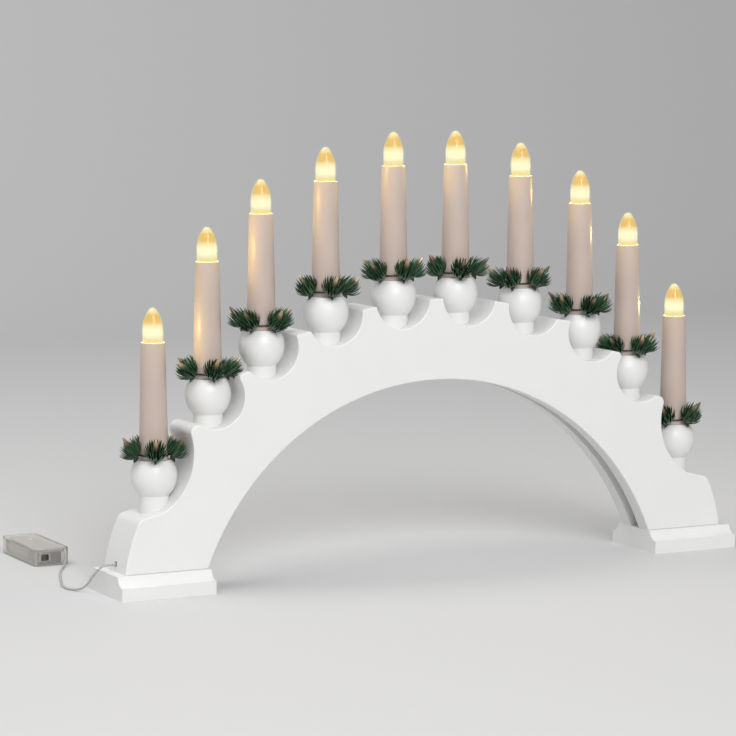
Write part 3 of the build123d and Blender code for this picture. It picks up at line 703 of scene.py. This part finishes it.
class CANDLEARCH_OT_wreaths(bpy.types.Operator):
    """Make the pine wreaths: a wire ring with sprigs, each a bowl of needles round a bud."""

    bl_idname = "candle_arch.wreaths"
    bl_label = "Pine wreaths"

    lean = math.radians(44)
    needle_bend = math.radians(86)
    root_reach = 12.8 * MM
    root_height = 3.0 * MM
    ring_height = 3.6 * MM
    bud_start = 4.0 * MM
    # The dark stem end that hangs from a sprig's root onto the cup is partly a stem and partly a painted
    # shadow of the sprig.
    shadow_stem_reach = 15.0 * MM
    shadow_stem_drop = 1.6 * MM
    shadow_stem_bend = 0.4
    shadow_stem_widths = (3.4, 3.0, 0.6)
    shadow_stem_sides = 8
    stalk_widths = (1.0, 1.4, 1.0)
    stalk_sides = 6
    ring_sides = 8
    ring_steps = 64
    needle_sides = 4
    needle_flat = 0.4
    needle_widths = (0.4, 0.75, 0.95, 1.0, 0.95, 0.75, 0.2)
    bud_sides = 12
    bud_widths = (0.35, 0.75, 0.95, 1.0, 0.95, 0.8, 0.55, 0.25)
    bud_sizes = (0.9, 1.1)
    bud_nods = (-0.2, 0.1)
    bud_sways = (-0.15, 0.15)
    lean_spread = math.radians(6)
    spin_spread = 0.25
    reach_sizes = (0.93, 1.07)
    rise_sizes = (0.9, 1.08)

    # Each layer's share of the needles, and its width and depth as shares of the bowl's
    layers = ((0.46, 1.0, 1.0), (0.32, 0.72, 1.28), (0.22, 0.42, 1.42))

    rim_radius = 12.1 * MM
    rest_gap = 0.3 * MM
    ray_step = 0.01 * MM
    needle_finish = 0
    wire_finish = 1
    bud_finish = 2
    seed = 7

    def execute(self, context):
        looks = context.scene.candle_arch_wreaths
        finishes = (pine_needles(looks), green_wire(looks), gilded_bud(looks))
        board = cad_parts["arch_board"]
        self.board = BVHTree.FromObject(board, context.evaluated_depsgraph_get())
        tube_low, tube_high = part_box("candle_tube_01")
        cup_low, cup_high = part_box("cup_01")
        self.tube_radius = (tube_high.x - tube_low.x) / 2
        self.ball_radius = (cup_high.x - cup_low.x) / 2
        self.ball_drop = math.sqrt(self.ball_radius**2 - self.rim_radius**2)
        for number, turn in zip(CANDLES, WREATH_TURNS):
            draw = random.Random(self.seed + turn)
            self.place = candle_place(number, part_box(f"cup_{number}")[1].z)
            bm = bmesh.new()
            self.along = bm.verts.layers.float.new("along")
            self.tone = bm.verts.layers.float.new("tone")
            self.add_ring(bm, looks)
            for sprig in range(looks.sprigs):
                self.add_sprig(bm, looks, math.radians(turn) + 2 * math.pi * sprig / looks.sprigs, draw)
            add_piece(
                f"pine_wreath_{number}", bm, finishes, f"wreath_{number}",
                [f"wreath_{number}"], self.place)
        return {"FINISHED"}

    def mark(self, rings, tone):
        """Store how far along a strand each ring lies, and the strand's tone."""
        for index, ring in enumerate(rings):
            for vert in ring:
                vert[self.along] = index / (len(rings) - 1)
                vert[self.tone] = tone

    def clear(self, point):
        """Move a point out of the tube, the cup and the board, as a needle that rests on them."""
        reach = math.hypot(point.x, point.y)
        least = self.tube_radius + self.rest_gap
        if reach < least:
            point = Vector((point.x * least / reach, point.y * least / reach, point.z))
        ball = Vector((0, 0, -self.ball_drop))
        from_ball = point - ball
        if from_ball.length < self.ball_radius + self.rest_gap:
            point = ball + from_ball.normalized() * (self.ball_radius + self.rest_gap)
        if self.in_board(point + self.place):
            near, normal, _, _ = self.board.find_nearest(point + self.place)
            point = near + normal * self.rest_gap - self.place
        return point

    def in_board(self, point):
        """Whether a point lies in the board: a line from it crosses the surface an odd number of times."""
        back = Vector((0, 1, 0))
        crossings = 0
        hit = self.board.ray_cast(point, back)[0]
        while hit:
            crossings += 1
            hit = self.board.ray_cast(hit + back * self.ray_step, back)[0]
        return crossings % 2 == 1

    def add_ring(self, bm, looks):
        """The wire ring round the tube's foot."""
        turns = [2 * math.pi * step / self.ring_steps for step in range(self.ring_steps)]
        points = [Vector((math.cos(turn), math.sin(turn), 0)) * looks.ring_radius for turn in turns]
        points = [point + Vector((0, 0, self.ring_height)) for point in points]
        radii = [looks.wire_radius] * len(points)
        up = Vector((0, 0, 1))
        tube(bm, points, radii, self.ring_sides, self.wire_finish, normal=up, loop=True)

    def add_sprig(self, bm, looks, turn, draw):
        """One sprig: its stalk, a dark stem end that is partly a stem and partly a painted shadow of the
        sprig on the cup, a bud and layers of needles that make a bowl.
        """
        outward = Vector((math.cos(turn), math.sin(turn), 0))
        aside = Vector((-math.sin(turn), math.cos(turn), 0))
        up = Vector((0, 0, 1))
        lean = self.lean + draw.uniform(-self.lean_spread, self.lean_spread)
        axis = outward * math.sin(lean) + up * math.cos(lean)
        across = outward * math.cos(lean) - up * math.sin(lean)
        root = outward * self.root_reach + up * self.root_height
        stalk = [outward * looks.ring_radius + up * self.ring_height, root, root + axis * self.bud_start]
        radii = [looks.wire_radius * width for width in self.stalk_widths]
        tube(bm, stalk, radii, self.stalk_sides, self.wire_finish)
        # Stem end: partly a stem, partly a painted shadow of the sprig on the cup.
        tip = outward * self.shadow_stem_reach - up * self.shadow_stem_drop
        shadow_stem = [root, root.lerp(tip, self.shadow_stem_bend), tip]
        radii = [looks.wire_radius * width for width in self.shadow_stem_widths]
        tube(bm, shadow_stem, radii, self.shadow_stem_sides, self.wire_finish)
        bud_way = axis + across * draw.uniform(*self.bud_nods) + aside * draw.uniform(*self.bud_sways)
        self.add_bud(bm, looks, root + axis * self.bud_start, bud_way, draw)
        for share, width, depth in self.layers:
            count = round(looks.needles * share)
            for needle in range(count):
                shift = draw.uniform(-self.spin_spread, self.spin_spread)
                spin = 2 * math.pi * (needle + shift) / count
                side = across * math.cos(spin) + aside * math.sin(spin)
                reach = looks.bowl_radius * width * draw.uniform(*self.reach_sizes)
                rise = looks.bowl_depth * depth * draw.uniform(*self.rise_sizes)
                self.add_needle(bm, looks, root, axis * rise, side * reach, draw)

    def add_needle(self, bm, looks, root, rise, reach, draw):
        """A flat needle that bends from its root round the side of the bowl up to its rim."""
        last = len(self.needle_widths) - 1
        points = []
        for step in range(last + 1):
            turn = self.needle_bend * step / last
            points.append(self.clear(root + reach * math.sin(turn) + rise * (1 - math.cos(turn))))
        radii = [width * looks.needle_width / 2 for width in self.needle_widths]
        rings = tube(
            bm, points, radii, self.needle_sides, self.needle_finish, self.needle_flat, reach - rise)
        self.mark(rings, draw.random())

    def add_bud(self, bm, looks, root, axis, draw):
        """A pointed bud."""
        way = axis.normalized()
        size = looks.bud_length * draw.uniform(*self.bud_sizes)
        last = len(self.bud_widths) - 1
        points = [root + way * size * step / last for step in range(last + 1)]
        radii = [width * looks.bud_radius for width in self.bud_widths]
        rings = tube(bm, points, radii, self.bud_sides, self.bud_finish)
        self.mark(rings, draw.random())


class CANDLEARCH_OT_cord(bpy.types.Operator):
    """Lay the twisted cord from the left foot to the battery box."""

    bl_idname = "candle_arch.cord"
    bl_label = "Twisted cord"

    smoothness = 24
    strand_sides = 8
    strand_share = 0.97
    slack = 0.25
    slack_pitch = 23.0 * MM
    box_nodes = ("battery_case", "battery_lid", "lid_screw", "battery_cells", "contact_plates",
                 "contact_springs", "switch_body", "switch_slider", "battery_leads")

    def execute(self, context):
        looks = context.scene.candle_arch_supply
        finish = clear_lead(looks)
        dress(finish, "wiring_loom", "battery_leads")
        path = self.read_route()
        bm = bmesh.new()
        for strand in (0, math.pi):
            self.add_strand(bm, path, strand, looks)
        cord = add_piece("twisted_cord", bm, (finish,), "arch", ["power_cord"])
        return {"FINISHED"}

    def read_route(self):
        """Points along the smooth line through the cord's route."""
        curve = bpy.data.curves.new("cord_line", "CURVE")
        curve.dimensions = "3D"
        curve.resolution_u = self.smoothness
        spline = curve.splines.new("NURBS")
        spline.points.add(len(CORD_ROUTE) - 1)
        for point, place in zip(spline.points, CORD_ROUTE):
            point.co = (*[value * MM for value in place], 1.0)
        spline.order_u = 3
        spline.use_endpoint_u = True
        line = bpy.data.objects.new("cord_line", curve)
        bpy.context.scene.collection.objects.link(line)
        mesh = bpy.data.meshes.new_from_object(line.evaluated_get(bpy.context.evaluated_depsgraph_get()))
        points = [vert.co.copy() for vert in mesh.vertices]
        bpy.data.meshes.remove(mesh)
        bpy.data.objects.remove(line)
        bpy.data.curves.remove(curve)
        return points

    def add_strand(self, bm, path, phase, looks):
        """One of the two leads, wound about the cord's line."""
        reach = looks.cord_diameter / 4
        points = []
        run = 0.0
        normal = None
        for index, point in enumerate(path):
            before = path[max(index - 1, 0)]
            way = (path[min(index + 1, len(path) - 1)] - before).normalized()
            normal = way.orthogonal() if normal is None else normal
            normal = (normal - way * normal.dot(way)).normalized()
            run += (point - before).length
            turn = phase + 2 * math.pi * run / looks.twist_pitch
            slack = 1 + self.slack * math.sin(2 * math.pi * run / self.slack_pitch) ** 2
            side = normal * math.cos(turn) + way.cross(normal) * math.sin(turn)
            points.append(point + side * reach * slack)
        tube(bm, points, [reach * self.strand_share] * len(points), self.strand_sides)


class CANDLEARCH_OT_battery_box(bpy.types.Operator):
    """Give the battery box and what is in it their plastics and metals."""

    bl_idname = "candle_arch.battery_box"
    bl_label = "Battery box"

    def execute(self, context):
        looks = context.scene.candle_arch_supply
        dress(frosted_case(looks), "battery_case", "battery_lid")
        dress(bright_metal("box_screw", (0.93, 0.93, 0.94), 0.4), "lid_screw")
        nickel = bright_metal("nickel_contact", (0.85, 0.83, 0.78), 0.34)
        dress(nickel, "contact_plates", "contact_springs")
        dress(bright_metal("cell_jacket", (0.62, 0.61, 0.58), 0.4), "battery_cells")
        dress(moulded_plastic("switch_plastic", (0.035, 0.033, 0.03), 0.5), "switch_body")
        dress(moulded_plastic("slider_plastic", (0.06, 0.055, 0.05), 0.4), "switch_slider")
        return {"FINISHED"}


class CANDLEARCH_OT_stage(bpy.types.Operator):
    """Set the floor, the lamps and the camera."""

    bl_idname = "candle_arch.stage"
    bl_label = "Stage"

    key_place = (-0.6, -3.0, 2.0)
    key_size = 1.4
    top_place = (-0.8, 0.1, 2.1)
    top_size = 2.0
    view_reach = 50
    floor_reach = 3.0
    floor_front = 4.2
    wall_start = 1.6
    wall_bend = 0.9
    wall_height = 3.0
    bend_steps = 24

    def execute(self, context):
        looks = context.scene.candle_arch_stage
        self.add_floor(looks)
        self.add_lamp("key_lamp", self.key_place, self.key_size, looks.key)
        self.add_lamp("top_lamp", self.top_place, self.top_size, looks.fill)
        world = bpy.data.worlds.new("even_light")
        context.scene.world = world
        world.use_nodes = True
        background = world.node_tree.nodes["Background"]
        background.inputs["Color"].default_value = (1.0, 1.0, 1.0, 1.0)
        background.inputs["Strength"].default_value = looks.sky
        context.scene.view_settings.view_transform = "Standard"
        self.add_camera(context)
        return {"FINISHED"}

    def add_floor(self, looks):
        """A floor that bends up into a backdrop."""
        profile = [(-self.floor_front, 0.0), (self.wall_start, 0.0)]
        for step in range(1, self.bend_steps + 1):
            turn = math.pi / 2 * step / self.bend_steps
            y = self.wall_start + self.wall_bend * math.sin(turn)
            z = self.wall_bend * (1 - math.cos(turn))
            profile.append((y, z))
        profile.append((self.wall_start + self.wall_bend, self.wall_height))
        bm = bmesh.new()
        left, right = [
            [bm.verts.new((side * self.floor_reach, y, z)) for y, z in profile] for side in (-1, 1)]
        for index in range(len(profile) - 1):
            bm.faces.new((left[index], right[index], right[index + 1], left[index + 1]))
        mesh = bpy.data.meshes.new("pale_floor")
        bm.to_mesh(mesh)
        bm.free()
        mesh.shade_smooth()
        material, _, shader = start_material("pale_floor")
        shader.inputs["Base Color"].default_value = opaque(looks.floor)
        shader.inputs["Roughness"].default_value = 0.7
        mesh.materials.append(material)
        floor = bpy.data.objects.new("pale_floor", mesh)
        bpy.context.scene.collection.objects.link(floor)

    def add_lamp(self, name, place, size, power):
        """A square soft lamp that points at the arch."""
        lamp = bpy.data.lights.new(name, "AREA")
        lamp.size = size
        lamp.energy = power
        holder = bpy.data.objects.new(name, lamp)
        holder.location = place
        target = (cad_low + cad_high) / 2
        holder.rotation_euler = (target - Vector(place)).to_track_quat("-Z", "Y").to_euler()
        bpy.context.scene.collection.objects.link(holder)

    def add_camera(self, context):
        """The camera at the photo's place."""
        camera = bpy.data.cameras.new("photo_camera")
        camera.lens = CAMERA_LENS
        camera.clip_end = self.view_reach
        holder = bpy.data.objects.new("photo_camera", camera)
        holder.location = CAMERA_PLACE
        holder.rotation_euler = Vector(CAMERA_WAY).to_track_quat("-Z", "Y").to_euler()
        context.scene.collection.objects.link(holder)
        context.scene.camera = holder


OPERATORS = (
    CANDLEARCH_OT_wood,
    CANDLEARCH_OT_candles,
    CANDLEARCH_OT_bulbs,
    CANDLEARCH_OT_wreaths,
    CANDLEARCH_OT_cord,
    CANDLEARCH_OT_battery_box,
    CANDLEARCH_OT_stage,
)
GROUPS = {
    "candle_arch_wood": WoodLooks,
    "candle_arch_candles": CandleLooks,
    "candle_arch_wreaths": WreathLooks,
    "candle_arch_supply": SupplyLooks,
    "candle_arch_stage": StageLooks,
}


class CANDLEARCH_PT_panel(bpy.types.Panel):
    """The candle arch's sizes, colours and steps."""

    bl_idname = "CANDLEARCH_PT_panel"
    bl_label = "Candle arch"
    bl_space_type = "VIEW_3D"
    bl_region_type = "UI"
    bl_category = "Candle arch"

    def draw(self, context):
        for name, group in GROUPS.items():
            box = self.layout.box()
            box.label(text=group.__doc__)
            for value in group.__annotations__:
                box.prop(getattr(context.scene, name), value)
        for operator in OPERATORS:
            self.layout.operator(operator.bl_idname)


def register():
    """Add the groups, the operators and the panel."""
    for made in (*GROUPS.values(), *OPERATORS, CANDLEARCH_PT_panel):
        bpy.utils.register_class(made)
    for name, group in GROUPS.items():
        setattr(bpy.types.Scene, name, PointerProperty(type=group))


def unregister():
    """Take them away again."""
    for name in GROUPS:
        delattr(bpy.types.Scene, name)
    for made in (CANDLEARCH_PT_panel, *reversed(OPERATORS), *reversed(GROUPS.values())):
        bpy.utils.unregister_class(made)


def main():
    """Dress the arch."""
    register()
    for operator in OPERATORS:
        group, step = operator.bl_idname.split(".")
        getattr(getattr(bpy.ops, group), step)()
    bpy.context.view_layer.update()


if __name__ == "__main__":
    main()
